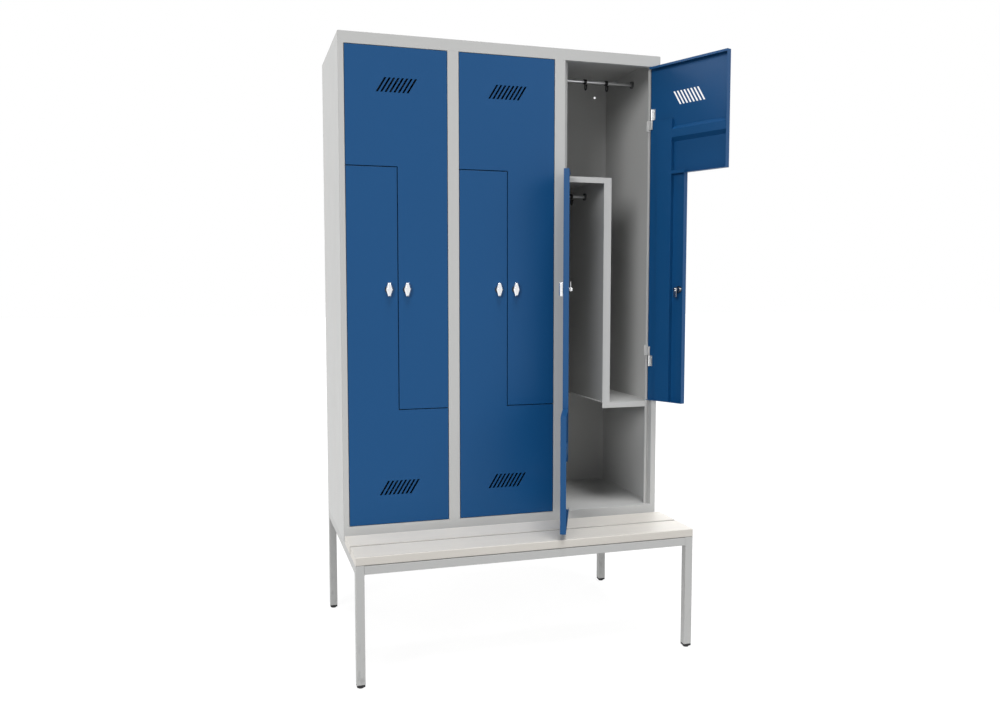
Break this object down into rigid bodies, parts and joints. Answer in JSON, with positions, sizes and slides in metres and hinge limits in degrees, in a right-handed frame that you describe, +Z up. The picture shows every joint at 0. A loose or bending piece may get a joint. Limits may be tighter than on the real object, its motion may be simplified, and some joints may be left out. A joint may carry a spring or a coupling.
{
  "type": "bench locker",
  "caption": "Sheet-steel changing-room locker with interlocking L-shaped doors, slanted vents, knob locks, hanging rails and a Z partition, standing on a slatted bench.",
  "frame": {"origin": "middle of the bounding box on the floor, with the open doors counted", "axes": "+X to the right seen from the front, +Y to the back, +Z up"},
  "size_m": [1.3108, 0.8204, 2.154],
  "materials": {
    "cabinet_grey": "satin powder coat",
    "bench_grey": "satin powder coat",
    "door_blue": "satin powder coat",
    "seat_white": "satin",
    "black_plastic": "matte",
    "socket_plastic": "matte",
    "rail_steel": "zinc plated",
    "hinge_steel": "zinc plated",
    "lock_chrome": "polished"
  },
  "bodies": {
    "cabinet": {"side_panel_left": "cabinet_grey", "side_panel_right": "cabinet_grey", "divider_1": "cabinet_grey", "divider_2": "cabinet_grey", "top_panel": "cabinet_grey", "bottom_panel": "cabinet_grey", "back_panel": "cabinet_grey", "z_partition_1": "cabinet_grey", "z_partition_2": "cabinet_grey", "z_partition_3": "cabinet_grey", "hanging_rails": "rail_steel", "rail_sockets": "socket_plastic", "bench_legs": "bench_grey", "bench_feet": "black_plastic", "bench_front_rail": "bench_grey", "bench_rear_rail": "bench_grey", "bench_side_rails": "bench_grey", "bench_cross_rails": "bench_grey", "seat_slats": "seat_white", "frame_hinges": "cabinet_grey", "hinge_pins": "hinge_steel"},
    "upper_door_1": {"door_upper_1": "door_blue", "stiffeners_upper_1": "door_blue", "door_hinge_upper_1": "hinge_steel", "lock_upper_1": "lock_chrome"},
    "upper_knob_1": {"knob_upper_1": "lock_chrome"},
    "lower_door_1": {"door_lower_1": "door_blue", "stiffeners_lower_1": "door_blue", "door_hinge_lower_1": "hinge_steel", "lock_lower_1": "lock_chrome"},
    "lower_knob_1": {"knob_lower_1": "lock_chrome"},
    "coat_hook_1a": {"hook_1a": "black_plastic"},
    "coat_hook_1b": {"hook_1b": "black_plastic"},
    "coat_hook_1c": {"hook_1c": "black_plastic"},
    "upper_door_2": {"door_upper_2": "door_blue", "stiffeners_upper_2": "door_blue", "door_hinge_upper_2": "hinge_steel", "lock_upper_2": "lock_chrome"},
    "upper_knob_2": {"knob_upper_2": "lock_chrome"},
    "lower_door_2": {"door_lower_2": "door_blue", "stiffeners_lower_2": "door_blue", "door_hinge_lower_2": "hinge_steel", "lock_lower_2": "lock_chrome"},
    "lower_knob_2": {"knob_lower_2": "lock_chrome"},
    "coat_hook_2a": {"hook_2a": "black_plastic"},
    "coat_hook_2b": {"hook_2b": "black_plastic"},
    "coat_hook_2c": {"hook_2c": "black_plastic"},
    "upper_door_3": {"door_upper_3": "door_blue", "stiffeners_upper_3": "door_blue", "door_hinge_upper_3": "hinge_steel", "lock_upper_3": "lock_chrome"},
    "upper_knob_3": {"knob_upper_3": "lock_chrome"},
    "lower_door_3": {"door_lower_3": "door_blue", "stiffeners_lower_3": "door_blue", "door_hinge_lower_3": "hinge_steel", "lock_lower_3": "lock_chrome"},
    "lower_knob_3": {"knob_lower_3": "lock_chrome"},
    "coat_hook_3a": {"hook_3a": "black_plastic"},
    "coat_hook_3b": {"hook_3b": "black_plastic"},
    "coat_hook_3c": {"hook_3c": "black_plastic"}
  },
  "joints": [
    {"name": "upper_door_1_hinge", "type": "hinge", "parent": "cabinet", "child": "upper_door_1", "pos_m": [-0.28541, -0.08428, 1.284], "axis": [0, 0, 1], "range_deg": [0, 115]},
    {"name": "upper_knob_1_turn", "type": "hinge", "parent": "upper_door_1", "child": "upper_knob_1", "pos_m": [-0.42335, -0.08978, 1.284], "axis": [0, 1, 0], "range_deg": [0, 90]},
    {"name": "lower_door_1_hinge", "type": "hinge", "parent": "cabinet", "child": "lower_door_1", "pos_m": [-0.62529, -0.08428, 1.284], "axis": [0, 0, 1], "range_deg": [-115, 0]},
    {"name": "lower_knob_1_turn", "type": "hinge", "parent": "lower_door_1", "child": "lower_knob_1", "pos_m": [-0.48735, -0.08978, 1.284], "axis": [0, 1, 0], "range_deg": [0, 90]},
    {"name": "hook_1a_slide", "type": "slide", "parent": "cabinet", "child": "coat_hook_1a", "axis": [1, 0, 0], "range_m": [-0.178, 0.076]},
    {"name": "hook_1b_slide", "type": "slide", "parent": "cabinet", "child": "coat_hook_1b", "axis": [1, 0, 0], "range_m": [-0.076, 0.1]},
    {"name": "hook_1c_slide", "type": "slide", "parent": "cabinet", "child": "coat_hook_1c", "axis": [1, 0, 0], "range_m": [-0.122, 0.046]},
    {"name": "upper_door_2_hinge", "type": "hinge", "parent": "cabinet", "child": "upper_door_2", "pos_m": [0.11459, -0.08428, 1.284], "axis": [0, 0, 1], "range_deg": [0, 70]},
    {"name": "upper_knob_2_turn", "type": "hinge", "parent": "upper_door_2", "child": "upper_knob_2", "pos_m": [-0.02335, -0.08978, 1.284], "axis": [0, 1, 0], "range_deg": [0, 90]},
    {"name": "lower_door_2_hinge", "type": "hinge", "parent": "cabinet", "child": "lower_door_2", "pos_m": [-0.22529, -0.08428, 1.284], "axis": [0, 0, 1], "range_deg": [-115, 0]},
    {"name": "lower_knob_2_turn", "type": "hinge", "parent": "lower_door_2", "child": "lower_knob_2", "pos_m": [-0.08735, -0.08978, 1.284], "axis": [0, 1, 0], "range_deg": [0, 90]},
    {"name": "hook_2a_slide", "type": "slide", "parent": "cabinet", "child": "coat_hook_2a", "axis": [1, 0, 0], "range_m": [-0.178, 0.076]},
    {"name": "hook_2b_slide", "type": "slide", "parent": "cabinet", "child": "coat_hook_2b", "axis": [1, 0, 0], "range_m": [-0.076, 0.1]},
    {"name": "hook_2c_slide", "type": "slide", "parent": "cabinet", "child": "coat_hook_2c", "axis": [1, 0, 0], "range_m": [-0.122, 0.046]},
    {"name": "upper_door_3_hinge", "type": "hinge", "parent": "cabinet", "child": "upper_door_3", "pos_m": [0.51459, -0.08428, 1.284], "axis": [0, 0, 1], "range_deg": [-113, 2]},
    {"name": "upper_knob_3_turn", "type": "hinge", "parent": "upper_door_3", "child": "upper_knob_3", "pos_m": [0.57355, -0.2091, 1.284], "axis": [-0.9205, -0.3907, 0], "range_deg": [0, 90]},
    {"name": "lower_door_3_hinge", "type": "hinge", "parent": "cabinet", "child": "lower_door_3", "pos_m": [0.17471, -0.08428, 1.284], "axis": [0, 0, 1], "range_deg": [-2, 113]},
    {"name": "lower_knob_3_turn", "type": "hinge", "parent": "lower_door_3", "child": "lower_knob_3", "pos_m": [0.11575, -0.2091, 1.284], "axis": [0.9205, -0.3907, 0], "range_deg": [0, 90]},
    {"name": "hook_3a_slide", "type": "slide", "parent": "cabinet", "child": "coat_hook_3a", "axis": [1, 0, 0], "range_m": [-0.178, 0.076]},
    {"name": "hook_3b_slide", "type": "slide", "parent": "cabinet", "child": "coat_hook_3b", "axis": [1, 0, 0], "range_m": [-0.076, 0.1]},
    {"name": "hook_3c_slide", "type": "slide", "parent": "cabinet", "child": "coat_hook_3c", "axis": [1, 0, 0], "range_m": [-0.122, 0.046]}
  ]
}
